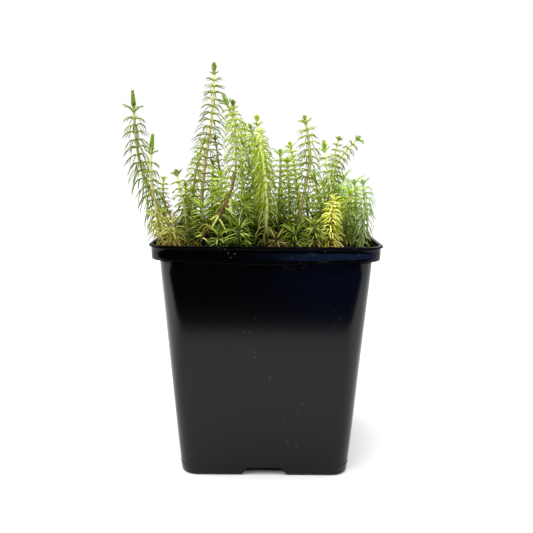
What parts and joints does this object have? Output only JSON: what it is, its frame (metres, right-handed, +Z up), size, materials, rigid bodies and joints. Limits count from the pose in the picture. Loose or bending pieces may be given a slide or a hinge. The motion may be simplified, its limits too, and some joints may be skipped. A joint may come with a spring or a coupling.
{
  "type": "marestail in a nursery pot",
  "caption": "Marestail, an upright water plant with whorls of narrow leaves on its shoots, growing in compost in a square black plastic nursery pot.",
  "frame": {"origin": "middle of the pot's flat base, on the plane that the pot stands on", "axes": "+Z up out of the pot, X and Y square to the pot's sides, the pot's front side facing -Y"},
  "size_m": [0.1301, 0.11, 0.2075],
  "materials": {
    "pot_plastic": "satin",
    "potting_compost": "matte",
    "leaf_green": "satin",
    "leaf_bluish_green": "satin",
    "leaf_yellow": "satin"
  },
  "bodies": {
    "root": {"compost": "potting_compost", "pot": "pot_plastic", "shoot_back_left": "leaf_green", "shoot_back_middle": "leaf_green", "shoot_back_slender": "leaf_green", "shoot_behind_red": "leaf_green", "shoot_behind_tallest": "leaf_green", "shoot_beside_tallest": "leaf_green", "shoot_brown_low": "leaf_yellow", "shoot_brown_thin": "leaf_green", "shoot_corner_low": "leaf_yellow", "shoot_corner_yellow": "leaf_yellow", "shoot_dark_bud": "leaf_bluish_green", "shoot_dark_low": "leaf_green", "shoot_far_left": "leaf_green", "shoot_far_right": "leaf_bluish_green", "shoot_front_ladder": "leaf_green", "shoot_front_left": "leaf_green", "shoot_front_low": "leaf_green", "shoot_front_olive": "leaf_green", "shoot_front_spread": "leaf_green", "shoot_leaning": "leaf_green", "shoot_left_bud": "leaf_green", "shoot_left_low": "leaf_green", "shoot_left_pale": "leaf_green", "shoot_left_small": "leaf_green", "shoot_middle_back": "leaf_green", "shoot_olive": "leaf_green", "shoot_olive_behind": "leaf_green", "shoot_pale_front": "leaf_green", "shoot_pale_second": "leaf_green", "shoot_right_blue": "leaf_bluish_green", "shoot_right_brown": "leaf_bluish_green", "shoot_right_bud": "leaf_green", "shoot_right_canopy": "leaf_bluish_green", "shoot_right_low": "leaf_green", "shoot_right_short": "leaf_green", "shoot_right_tall": "leaf_green", "shoot_tallest": "leaf_green", "shoot_thin_back": "leaf_green", "shoot_twin_back": "leaf_bluish_green", "shoot_twin_red": "leaf_green", "shoot_yellow": "leaf_yellow", "young_shoot_01": "leaf_green", "young_shoot_02": "leaf_green", "young_shoot_03": "leaf_green", "young_shoot_04": "leaf_green", "young_shoot_05": "leaf_green", "young_shoot_06": "leaf_green", "young_shoot_07": "leaf_green", "young_shoot_08": "leaf_green", "young_shoot_09": "leaf_green", "young_shoot_10": "leaf_green", "young_shoot_11": "leaf_green", "young_shoot_12": "leaf_green", "young_shoot_13": "leaf_green", "young_shoot_14": "leaf_green", "young_shoot_15": "leaf_green", "young_shoot_16": "leaf_green", "young_shoot_17": "leaf_green"}
  },
  "joints": []
}
